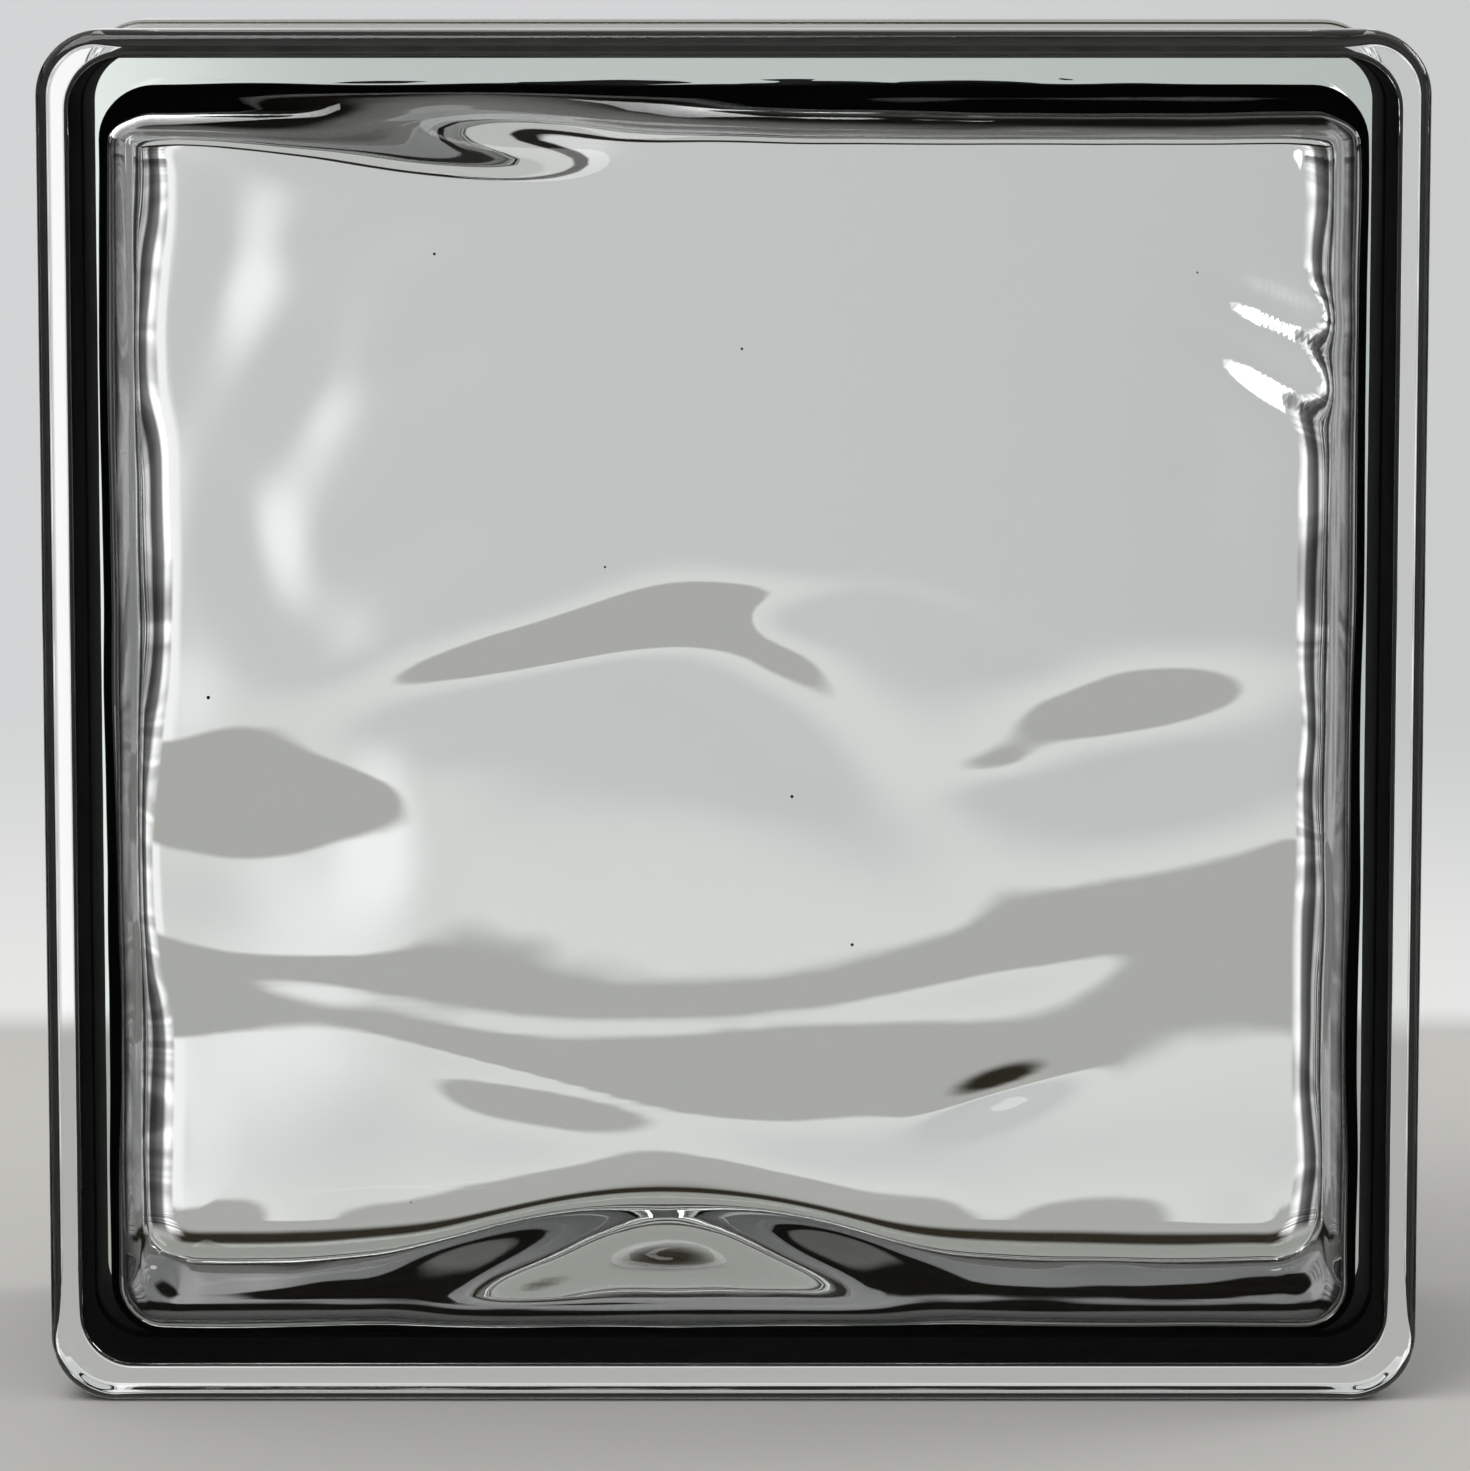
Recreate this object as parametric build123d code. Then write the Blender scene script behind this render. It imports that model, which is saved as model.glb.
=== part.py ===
from build123d import *
import math
import os

# Hollow pressed-glass wall block, one piece of glass. Lengths in millimetres.
# X runs across the face, Y from the front face to the back face, Z up. The origin is
# the middle of the bottom, on the plane that the block stands on.

# Outside
SIDE = 190.0            # width and height of a face
DEPTH = 80.0            # front face to back face
CORNER_R = 9.0          # corners of a face
EDGE_R = 2.2            # rounded rim of a face
LIP = 11.0              # depth of the lip around each face, along Y
LIP_BEVEL = 1.0         # bevelled rim on the waist side of the lip
RECESS = 4.0            # how far the waist lies in from the lip
ROOT_BEVEL = 0.8        # slope where the lip turns into the waist
WAIST_CORNER_R = 7.0    # corners of the waist

# Seam where the two half shells were fused
SEAM_WIDTH = 7.0
SEAM_HEIGHT = 1.1
SEAM_BEVEL = 0.9        # sloped shoulders of the seam

# Inside
FACE = 9.0              # glass thickness of a face between its swells
WALL = 3.2              # wall thickness at the seam
WALL_DRAFT = 1.2        # degrees, walls thicken towards the faces for release from the mould
HOLLOW_CORNER_R = 8.0   # corners of the hollow at the seam
INNER_R = 5.0           # hollow where a face turns into the wall
INNER_R_SHARE = 0.9     # the inner radius stays under this share of the hollow's corner radius

# Waves pressed into the inner side of each face
WAVE_HEIGHT = 2.0       # a swell with a height share of 1 stands this far into the hollow
WAVE_BASE = 0.15        # glass that covers the whole face under the swells
GRID_CELLS = 47         # cells along each side of the grid that carries the wave surface
FIT = 0.005             # how closely the surface follows those points
OVERRUN = 6.0           # the wave surface runs past the hollow by this much

# Each swell: height as a share of the wave height; middle across, middle up, half length
# and half width as shares of half the side; slope of its crest; bow of its crest, a share again
FRONT_SWELL_SHARES = [
    (1.050, -0.032, 0.057, 0.147, 0.082, -0.20, -0.032),    # middle of the face
    (0.500, -0.316, 0.058, 0.168, 0.044, 0.22, 0.000),      # its run-out to the left
    (0.925, -0.716, -0.210, 0.142, 0.110, 0.00, 0.000),     # left edge
    (0.850, -0.820, -0.484, 0.232, 0.105, 0.00, 0.000),     # left edge, lower
    (0.675, 0.600, -0.037, 0.158, 0.069, 0.15, 0.000),      # right of the middle
    (0.500, 0.926, -0.463, 0.379, 0.179, 0.00, 0.000),      # right edge, lower
    (0.575, 0.000, -0.442, 4.210, 0.221, 0.00, 0.000),      # long roll across the lower half
    (0.150, 0.021, -0.179, 0.316, 0.105, 0.00, 0.000),      # above that roll
    (0.300, 0.080, -0.595, 0.290, 0.060, 0.03, 0.000),      # below that roll
    (0.600, -0.084, -0.753, 0.274, 0.045, -0.03, -0.074),   # bottom
    (0.750, -0.100, -0.830, 0.300, 0.063, 0.00, -0.040),    # bottom, lower
    (1.100, -0.463, 0.853, 0.210, 0.042, -0.13, 0.010),     # top, left of the middle
    (0.800, 0.000, 0.920, 4.210, 0.045, 0.00, 0.000),       # long roll under the top wall
]
BACK_SWELL_SHARES = [
    (0.200, 0.100, 0.450, 0.900, 0.250, 0.05, 0.000),       # upper half
    (0.150, -0.350, 0.750, 0.500, 0.150, -0.05, 0.000),     # top, left of the middle
]


def relief(swells, across, up):
    """How far the pressed swells stand into the hollow at a point, measured from the middle."""
    height = 0.0
    for height_share, middle, level, length, width, slope, bow in swells:
        off = across / (SIDE / 2) - middle
        along = off / length
        crest = level + slope * off + bow * along ** 2
        beside = (up / (SIDE / 2) - crest) / width
        height += height_share * math.exp(-(along ** 2 + beside ** 2) / 2)
    return height * WAVE_HEIGHT


def plate(size, corner, depth):
    """Upright square plate with rounded corners, centred on the origin."""
    outline = Plane.XZ * RectangleRounded(size, size, corner)
    return extrude(outline, depth / 2, both=True)


def front_lip():
    """Plate that carries the front face, its rim rounded in front and bevelled behind."""
    body = plate(SIDE, CORNER_R, LIP)
    body = fillet(body.faces().sort_by(Axis.Y)[0].edges(), EDGE_R)
    body = chamfer(body.faces().sort_by(Axis.Y)[-1].edges(), LIP_BEVEL)
    return Pos(0, (LIP - DEPTH) / 2, 0) * body


def outside():
    """The block from outside: two lipped faces, the waist between them and the seam."""
    waist_size = SIDE - 2 * RECESS
    lip = front_lip()
    body = plate(waist_size, WAIST_CORNER_R, DEPTH - LIP) + lip + mirror(lip, about=Plane.XZ)
    steps = body.faces().filter_by(Axis.Y).sort_by(Axis.Y)[1:-1]
    roots = [edge for step in steps for edge in step.inner_wires()[0].edges()]
    body = chamfer(roots, ROOT_BEVEL)
    seam = plate(waist_size + 2 * SEAM_HEIGHT, WAIST_CORNER_R + SEAM_HEIGHT, SEAM_WIDTH)
    seam = chamfer(seam.faces().filter_by(Axis.Y).edges(), SEAM_BEVEL)
    return body + seam


def wave_surface(swells, towards, reach):
    """Inner side of one face, a smooth surface through the relief on a square grid."""
    level = DEPTH / 2 - FACE
    rows = []
    for row in range(GRID_CELLS + 1):
        up = reach * (2 * row / GRID_CELLS - 1)
        line = []
        for column in range(GRID_CELLS + 1):
            across = reach * (2 * column / GRID_CELLS - 1)
            line.append((across, towards * (level - relief(swells, across, up)), up))
        rows.append(line)
    return Face.make_surface_from_array_of_points(rows, tol=FIT, min_deg=3, max_deg=5)


def hollow_half(swells, towards):
    """Half of the hollow, from the seam plane to one face (-1 front, +1 back)."""
    end = DEPTH / 2 - FACE + WAVE_BASE
    size = SIDE - 2 * (RECESS + WALL)
    draft = end * math.tan(math.radians(WALL_DRAFT))
    corner = HOLLOW_CORNER_R - draft
    at_seam = Plane.XZ * RectangleRounded(size, size, HOLLOW_CORNER_R)
    at_end = Plane.XZ * RectangleRounded(size - 2 * draft, size - 2 * draft, corner)
    body = loft([at_seam, Pos(0, towards * end, 0) * at_end])
    flat = body.faces().sort_by(Axis.Y)[0 if towards < 0 else -1]
    body = fillet(flat.edges(), min(INNER_R, INNER_R_SHARE * corner))
    surface = wave_surface(swells, towards, size / 2 + OVERRUN)
    return body & extrude(surface, 2 * DEPTH, dir=(0, -towards, 0))


hollow = hollow_half(FRONT_SWELL_SHARES, -1) + hollow_half(BACK_SWELL_SHARES, 1)
glass_block = Pos(0, 0, SIDE / 2) * (outside() - hollow)

os.makedirs("parts", exist_ok=True)
export_step(glass_block, "parts/glass_block.step")
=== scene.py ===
"""One hollow pressed-glass wall block, and a plain stage to look at it on."""

import math

import bmesh
import bpy
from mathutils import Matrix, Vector


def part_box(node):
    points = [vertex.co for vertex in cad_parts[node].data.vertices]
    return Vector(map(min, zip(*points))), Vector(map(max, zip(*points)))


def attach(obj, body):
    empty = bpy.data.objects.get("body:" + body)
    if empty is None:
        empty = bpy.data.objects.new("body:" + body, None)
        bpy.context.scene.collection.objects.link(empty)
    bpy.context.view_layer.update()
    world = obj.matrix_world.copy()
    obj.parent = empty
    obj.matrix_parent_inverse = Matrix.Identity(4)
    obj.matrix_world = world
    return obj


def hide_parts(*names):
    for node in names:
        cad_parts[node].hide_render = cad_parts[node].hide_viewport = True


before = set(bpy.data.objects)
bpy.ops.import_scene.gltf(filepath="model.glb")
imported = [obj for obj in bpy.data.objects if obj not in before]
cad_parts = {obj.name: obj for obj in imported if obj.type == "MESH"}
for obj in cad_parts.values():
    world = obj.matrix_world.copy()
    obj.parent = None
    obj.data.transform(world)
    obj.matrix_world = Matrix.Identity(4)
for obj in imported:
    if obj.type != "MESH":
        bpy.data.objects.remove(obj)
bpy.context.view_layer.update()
BLOCK_LOW, BLOCK_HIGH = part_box("glass_block")

bl_info = {
    "name": "Glass wall block",
    "version": (1, 0, 0),
    "blender": (4, 5, 0),
    "location": "View3D > Sidebar > Glass block",
    "description": "Makes one hollow pressed-glass wall block and a plain stage",
    "category": "Add Mesh",
}

MM = 0.001
IMAGE_WIDTH = 1470
IMAGE_HEIGHT = 1471

# How finely the glass is cut into faces
FACE_STEPS = 148        # cells along each side of a pressed face
CORNER_STEPS = 6        # of those, cells that go round half a corner
BORDER_RINGS = 12       # rings between the square grid and the rounded border
ROUND_STEPS = 9         # faces across a rounded edge
SEAM_STEPS = 12         # faces across the seam
WALL_RINGS = 6          # rings from the seam to the turn of the wall
OUTSIDE_STEPS = 28      # points along each side of an outside ring
OUTSIDE_CORNER_STEPS = 9    # of those, points round half a corner
FLOOR_STEPS = 96        # points round the floor
SUPPORT = 0.15 * MM     # narrow flat strip beside each rounded edge, keeps flat faces flat
SEED = 7                # start of everything that is scattered
SEED_MARGIN = 3.5 * MM  # seeds keep this far from the rim
SMALLEST_SEED_SHARE = 0.25  # smallest seed, as a share of the largest
BORDER = 10.0 * MM      # width of the strip between a face's square grid and its rounded turn

# Each swell of the pressed waves: height as a share of the wave height; middle across, middle up,
# half length and half width as shares of half the side; slope of its crest; bow, a share again
FRONT_SWELL_SHARES = [
    (1.050, -0.032, 0.057, 0.147, 0.082, -0.20, -0.032),    # middle of the face
    (0.500, -0.316, 0.058, 0.168, 0.044, 0.22, 0.000),      # its run-out to the left
    (0.925, -0.716, -0.210, 0.142, 0.110, 0.00, 0.000),     # left edge
    (0.850, -0.820, -0.484, 0.232, 0.105, 0.00, 0.000),     # left edge, lower
    (0.675, 0.600, -0.037, 0.158, 0.069, 0.15, 0.000),      # right of the middle
    (0.500, 0.926, -0.463, 0.379, 0.179, 0.00, 0.000),      # right edge, lower
    (0.575, 0.000, -0.442, 4.210, 0.221, 0.00, 0.000),      # long roll across the lower half
    (0.150, 0.021, -0.179, 0.316, 0.105, 0.00, 0.000),      # above that roll
    (0.300, 0.080, -0.595, 0.290, 0.060, 0.03, 0.000),      # below that roll
    (0.600, -0.084, -0.753, 0.274, 0.045, -0.03, -0.074),   # bottom
    (0.750, -0.100, -0.830, 0.300, 0.063, 0.00, -0.040),    # bottom, lower
    (1.100, -0.463, 0.853, 0.210, 0.042, -0.13, 0.010),     # top, left of the middle
    (0.800, 0.000, 0.920, 4.210, 0.045, 0.00, 0.000),       # long roll under the top wall
]
# Smaller ripples on the same face, with a negative height where there is a dip
FRONT_RIPPLE_SHARES = [
    (0.150, 0.116, 0.168, 0.074, 0.026, 0.00, 0.000),       # notch right of the middle swell
    (0.140, 0.300, 0.150, 0.090, 0.030, -0.28, 0.000),      # its run-out to the right
    (0.080, 0.389, -0.089, 0.053, 0.023, 0.10, 0.000),      # tail of the swell right of the middle
    (0.025, -0.053, -0.437, 0.474, 0.019, 0.06, 0.042),     # pale gap along the lower roll
    (0.065, 0.421, -0.363, 0.147, 0.032, 0.20, 0.000),      # its wide right end
    (0.070, -0.316, -0.600, 0.095, 0.037, -0.20, 0.000),    # leaf below the roll
    (0.075, -0.260, -0.527, 0.160, 0.016, -0.22, 0.000),    # pale gap above that leaf
    (0.600, 0.390, -0.553, 0.058, 0.020, 0.30, 0.000),      # dark leaf at the lower right
    (0.400, 0.790, 0.593, 0.070, 0.026, -0.40, 0.000),      # upper glint at the right wall
    (0.365, 0.780, 0.508, 0.065, 0.026, -0.50, 0.000),      # lower glint
    (-0.320, -0.370, -0.885, 0.145, 0.038, 0.05, 0.000),    # dip left of the bottom swell
    (-0.320, 0.210, -0.885, 0.145, 0.038, -0.05, 0.000),    # dip right of it
    (0.200, -0.560, -0.150, 0.055, 0.090, 0.00, 0.000),     # right shoulder of the left edge's swell
    (0.100, -0.840, -0.130, 0.060, 0.080, 0.00, 0.000),     # its left shoulder
    (0.045, -0.540, -0.390, 0.150, 0.018, -0.10, 0.000),    # left end of the pale gap
    (0.450, -0.290, 0.845, 0.100, 0.040, -0.10, 0.000),     # run-out of the top swell to the right
    (0.120, 0.710, 0.370, 0.045, 0.018, 0.10, 0.000),       # slight ripple below the glints
    (0.550, 0.000, 0.897, 4.210, 0.0235, 0.00, 0.000),      # sharper edge of the roll under the top wall
    (0.550, 0.550, 0.897, 0.420, 0.0235, 0.00, 0.000),      # the same edge, higher at the right
    (0.550, -1.000, 0.897, 0.200, 0.0235, 0.00, 0.000),     # and at the left wall
]
BACK_SWELL_SHARES = [
    (0.20, 0.10, 0.45, 0.90, 0.250, 0.05, 0.00),            # upper half
    (0.15, -0.35, 0.75, 0.50, 0.150, -0.05, 0.00),          # top, left of the middle
]
# Smaller ripples on that face, which make soft pale streaks
BACK_RIPPLE_SHARES = [
    (0.28, -0.78, 0.62, 0.050, 0.090, 0.60, 0.00),          # top left
    (0.24, -0.58, 0.66, 0.110, 0.035, 0.10, 0.00),          # right of it
    (0.26, -0.66, 0.42, 0.060, 0.080, 0.80, 0.00),          # below
    (0.22, -0.50, 0.47, 0.100, 0.040, 0.20, 0.00),          # right of it
    (0.28, -0.74, 0.18, 0.050, 0.080, -0.40, 0.00),         # left, above the middle
    (0.22, -0.50, 0.20, 0.120, 0.050, 0.30, 0.00),          # right of it
    (0.18, -0.64, 0.04, 0.060, 0.050, 0.00, 0.00),          # left of the middle
    (0.12, 0.72, 0.30, 0.050, 0.160, 0.00, 0.00),           # right, below the glints
]

# Light at the sides of the far wall: how far to the side, and how bright, 1 being white
SIDE_LIGHT = [(0.00, 0.66), (0.06, 0.72), (0.10, 1.05), (0.20, 1.10), (0.26, 1.60), (0.29, 1.60),
              (0.34, 0.30), (0.46, 0.10), (0.54, 0.08), (0.60, 0.80), (0.66, 0.80), (0.72, 0.15),
              (1.00, 0.20)]

# Changes of tone in the far background: name; what of a ray's way decides, for each unit of its length
# (X to the right, Y away from the camera, Z up, side to either side, lamp the distance from the way to
# the lamp); where the change starts and is full
SOFT_CHANGES = [
    ("dull wall", "X", -0.02, 0.12),        # the wall is duller towards the right
    ("lit wall", "X", -0.042, -0.097),      # and lit towards the left
    ("ground shadow", "Z", -0.24, -0.34),     # painted shadow of the block on the ground close behind it
    ("foot ground", "Z", -0.44, -0.52),     # lit ground at its foot
    ("lamp", "lamp", 0.036, 0.022),
    ("beam", "Z", 0.165, 0.200),            # dark beam high on the wall
    ("ceiling", "Z", 0.290, 0.330),         # above that beam
]
EVEN_CHANGES = [
    ("beyond", "Y", 0.0, 0.1),              # the half that lies beyond the block
    ("strips", "side", 0.16, 0.20),         # light and dark strips at both sides
    ("strip height", "Z", -0.40, -0.30),    # above the foot of those strips
    ("between strips", "side", 0.30, 0.20),
    ("dim side", "Y", 0.0, -0.3),           # behind the camera
]
LAMP_WAY = (0.128, 0.992, 0.000)            # from the block to the lamp
FOOT_RISE = 0.05                            # the wall is paler this far up from the horizon
HORIZON_SOFTNESS = 0.003

# Patches: the levels of the noise between which a finish changes, and their sizes
STRIP_CHANGES = 40.0        # changes of tone up a strip at the side
STRIP_DIM_LEVEL = 0.35
STRIP_BRIGHT_LEVEL = 0.60
STRIP_DIM_SHARE = 0.25      # light that a dim place of a strip keeps
COAT_THICK_LEVEL = 0.35
COAT_THIN_LEVEL = 0.70
FLOOR_PATCH = 125.0 * MM    # size of the patches of the floor

# Softboxes: name, place and side in metres, and watts
SOFTBOXES = [("top_softbox", (-0.5, -0.5, 1.2), 0.9, 9.0), ("right_softbox", (1.1, 0.5, 0.8), 0.6, 5.0)]


def linear(hex_colour):
    """sRGB hex to the linear red, green, blue and alpha that shaders take."""
    channels = [int(hex_colour[place:place + 2], 16) / 255 for place in (1, 3, 5)]
    return [c / 12.92 if c <= 0.04045 else ((c + 0.055) / 1.055) ** 2.4 for c in channels] + [1.0]


def add_node(tree, kind, inputs=None, **settings):
    """Adds a node with its settings; each input is linked to an output or set to a value."""
    node = tree.nodes.new(kind)
    for name, value in settings.items():
        setattr(node, name, value)
    for name, value in (inputs or {}).items():
        if isinstance(value, bpy.types.NodeSocket):
            tree.links.new(value, node.inputs[name])
        else:
            node.inputs[name].default_value = value
    return node


class GlassBlockSizes(bpy.types.PropertyGroup):
    """Sizes of the glass."""

    side: bpy.props.FloatProperty(
        name="Side", description="Width and height of a face", unit="LENGTH",
        default=BLOCK_HIGH[0] - BLOCK_LOW[0])
    depth: bpy.props.FloatProperty(
        name="Depth", description="Front face to back face", unit="LENGTH",
        default=BLOCK_HIGH[1] - BLOCK_LOW[1])
    corner_radius: bpy.props.FloatProperty(
        name="Corner radius", description="Corners of a face", unit="LENGTH", default=9.0 * MM)
    edge_radius: bpy.props.FloatProperty(
        name="Rim radius", description="Rounded rim of a face", unit="LENGTH", default=2.2 * MM)
    lip: bpy.props.FloatProperty(
        name="Lip", description="Depth of the lip around each face", unit="LENGTH", default=11.0 * MM)
    lip_radius: bpy.props.FloatProperty(
        name="Lip radius", description="Rounded rim on the waist side of the lip", unit="LENGTH",
        default=1.2 * MM)
    recess: bpy.props.FloatProperty(
        name="Recess", description="How far the waist lies in from the lip", unit="LENGTH",
        default=4.0 * MM)
    root_radius: bpy.props.FloatProperty(
        name="Root radius", description="Hollow where the lip turns into the waist", unit="LENGTH",
        default=0.8 * MM)
    waist_corner_radius: bpy.props.FloatProperty(
        name="Waist corner radius", description="Corners of the waist", unit="LENGTH", default=7.0 * MM)
    seam_width: bpy.props.FloatProperty(
        name="Seam width", description="Width of the fused seam", unit="LENGTH", default=7.0 * MM)
    seam_height: bpy.props.FloatProperty(
        name="Seam height", description="How far the seam stands out of the waist", unit="LENGTH",
        default=1.1 * MM)
    face: bpy.props.FloatProperty(
        name="Face thickness", description="Mean glass thickness of a face", unit="LENGTH",
        default=9.0 * MM)
    wall: bpy.props.FloatProperty(
        name="Wall thickness", description="Glass thickness of the wall at the seam", unit="LENGTH",
        default=3.2 * MM)
    draft: bpy.props.FloatProperty(
        name="Draft", description="Lean of the walls for release from the mould", subtype="ANGLE",
        default=math.radians(1.2))
    hollow_corner_radius: bpy.props.FloatProperty(
        name="Hollow corner radius", description="Corners of the hollow at the seam", unit="LENGTH",
        default=8.0 * MM)
    inner_radius: bpy.props.FloatProperty(
        name="Inner radius", description="Hollow where a face turns into the wall", unit="LENGTH",
        default=5.0 * MM)
    wave_height: bpy.props.FloatProperty(
        name="Wave height", description="Height of a full swell of the pressed waves", unit="LENGTH",
        default=2.0 * MM)
    wobble: bpy.props.FloatProperty(
        name="Wobble", description="How far the walls and their turns run out of true", unit="LENGTH",
        default=0.9 * MM)
    wobble_length: bpy.props.FloatProperty(
        name="Wobble length", description="Length of one bend of the walls", unit="LENGTH",
        default=26.0 * MM)
    seed_radius: bpy.props.FloatProperty(
        name="Seed radius", description="Largest of the small bubbles in the front face", unit="LENGTH",
        default=0.25 * MM)
    seed_density: bpy.props.FloatProperty(
        name="Seeds", description="Small bubbles on each square metre of the front face", default=220.0)


class GlassBlockLook(bpy.types.PropertyGroup):
    """Finish of the glass."""

    ior: bpy.props.FloatProperty(
        name="IOR", description="Index of refraction of soda-lime glass", default=1.52)
    depth_colour: bpy.props.FloatVectorProperty(
        name="Depth colour", description="Light left after a long way in the glass", subtype="COLOR",
        size=4, default=linear("#CFE3D4"))
    density: bpy.props.FloatProperty(
        name="Absorption", description="Absorption for each metre of glass", default=6.0)
    ripple_length: bpy.props.FloatProperty(
        name="Ripple length", description="Length of the faint ripple left by the mould", unit="LENGTH",
        default=14.0 * MM)
    ripple_height: bpy.props.FloatProperty(
        name="Ripple height", description="Height of that ripple", unit="LENGTH", default=0.02 * MM)
    # painted shade: both coat colours are near black so that the waist shows the shade of the joint round a
    # laid block, over a real coat
    coat_thick_shade_colour: bpy.props.FloatVectorProperty(
        name="Coat and joint shade", description="Thick places of the matt coat on the waist", subtype="COLOR",
        size=4, default=linear("#0A0B09"))
    coat_thin_shade_colour: bpy.props.FloatVectorProperty(
        name="Thin coat and joint shade", description="Thin, brushed-out places of the coat", subtype="COLOR",
        size=4, default=linear("#20211D"))
    coat_grain: bpy.props.FloatProperty(
        name="Coat grain", description="Size of the patches in the coat", unit="LENGTH", default=6.0 * MM)


class GlassBlockStage(bpy.types.PropertyGroup):
    """Plain stage."""

    floor_colour: bpy.props.FloatVectorProperty(
        name="Floor", description="Matt floor", subtype="COLOR", size=4, default=linear("#B4B3AF"))
    floor_patch_colour: bpy.props.FloatVectorProperty(
        name="Floor patches", description="Slightly darker places of the floor", subtype="COLOR", size=4,
        default=linear("#AEADA9"))
    wall_colour: bpy.props.FloatVectorProperty(
        name="Wall", description="Far wall", subtype="COLOR", size=4, default=linear("#D3D4D5"))
    dull_wall_colour: bpy.props.FloatVectorProperty(
        name="Dull wall", description="Far wall away from the light", subtype="COLOR", size=4,
        default=linear("#CBCDCD"))
    wall_foot_colour: bpy.props.FloatVectorProperty(
        name="Wall foot", description="Far wall just above the ground", subtype="COLOR", size=4,
        default=linear("#E6E7E5"))
    ground_colour: bpy.props.FloatVectorProperty(
        name="Ground", description="Far ground", subtype="COLOR", size=4, default=linear("#B7B7B3"))
    # painted shadow: dark ground close behind the block, which the glass shows
    ground_shadow_colour: bpy.props.FloatVectorProperty(
        name="Ground shadow", description="Dim ground close behind the block", subtype="COLOR", size=4,
        default=linear("#2E2A21"))
    foot_ground_colour: bpy.props.FloatVectorProperty(
        name="Foot ground", description="Lit ground at the foot of the block", subtype="COLOR", size=4,
        default=linear("#A2A39E"))
    beam_colour: bpy.props.FloatVectorProperty(
        name="Beam", description="Dark beam high on the far wall", subtype="COLOR", size=4,
        default=linear("#23201B"))
    ceiling_colour: bpy.props.FloatVectorProperty(
        name="Ceiling", description="Ceiling above the beam", subtype="COLOR", size=4,
        default=linear("#C8C9C6"))
    dim_side_colour: bpy.props.FloatVectorProperty(
        name="Dim side", description="Side behind the camera", subtype="COLOR", size=4,
        default=linear("#222321"))
    lamp_strength: bpy.props.FloatProperty(
        name="Lamp", description="Brightness of the lamp on the far wall", default=2.0)
    light_strength: bpy.props.FloatProperty(
        name="Studio light", description="Even light from all round", default=0.84)
    horizon: bpy.props.FloatProperty(
        name="Horizon", description="Slope from the block down to where far ground meets wall",
        default=-0.1693)
    floor_radius: bpy.props.FloatProperty(
        name="Floor radius", description="Radius of the round floor", unit="LENGTH", default=0.5)
    floor_shift: bpy.props.FloatProperty(
        name="Floor shift", description="Middle of the floor behind the block's middle", unit="LENGTH",
        default=-0.224)
    middle_pixel_x: bpy.props.FloatProperty(
        name="Middle across", description="Where the block's middle falls across the picture, in pixels",
        default=733.5)
    middle_pixel_y: bpy.props.FloatProperty(
        name="Middle down", description="Where the block's middle falls down the picture, in pixels",
        default=725.0)
    camera_distance: bpy.props.FloatProperty(
        name="Camera distance", description="From the front face to the camera", unit="LENGTH",
        default=0.90)
    camera_rise: bpy.props.FloatProperty(
        name="Camera rise", description="Camera above the block's middle", unit="LENGTH", default=114 * MM)
    camera_side: bpy.props.FloatProperty(
        name="Camera side step", description="Camera to the right of the block's middle",
        unit="LENGTH", default=0.0)
    camera_pitch: bpy.props.FloatProperty(
        name="Camera pitch", description="Tilt of the camera below level", subtype="ANGLE",
        default=math.radians(7.2))
    pixels_per_mm: bpy.props.FloatProperty(
        name="Pixels per millimetre", description="Scale of the picture at the front face",
        default=7.28)


def turned_round(side):
    """Points along the lower side of a square, repeated along all four sides."""
    points = []
    for quarter in range(4):
        cos_q, sin_q = round(math.cos(quarter * math.pi / 2)), round(math.sin(quarter * math.pi / 2))
        points.extend((x * cos_q - z * sin_q, x * sin_q + z * cos_q) for x, z in side)
    return points


def rounded_square(half, radius, side_steps, corner_steps):
    """Points round a square with rounded corners, from the middle of one corner's arc on."""
    centre = half - radius
    straight = side_steps - 2 * corner_steps
    side = []
    for step in range(side_steps):
        if step < corner_steps:
            turn = math.pi / 4 * (1 - step / corner_steps)
            side.append((-centre - radius * math.sin(turn), -centre - radius * math.cos(turn)))
        elif step <= corner_steps + straight:
            share = (step - corner_steps) / straight
            side.append((-centre + 2 * centre * share, -half))
        else:
            turn = math.pi / 4 * (step - corner_steps - straight) / corner_steps
            side.append((centre + radius * math.sin(turn), -centre - radius * math.cos(turn)))
    return turned_round(side)


def even_square(half, side_steps):
    """Points round a plain square at even steps, in the same order."""
    return turned_round([(half * (2 * step / side_steps - 1), -half) for step in range(side_steps)])


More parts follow.
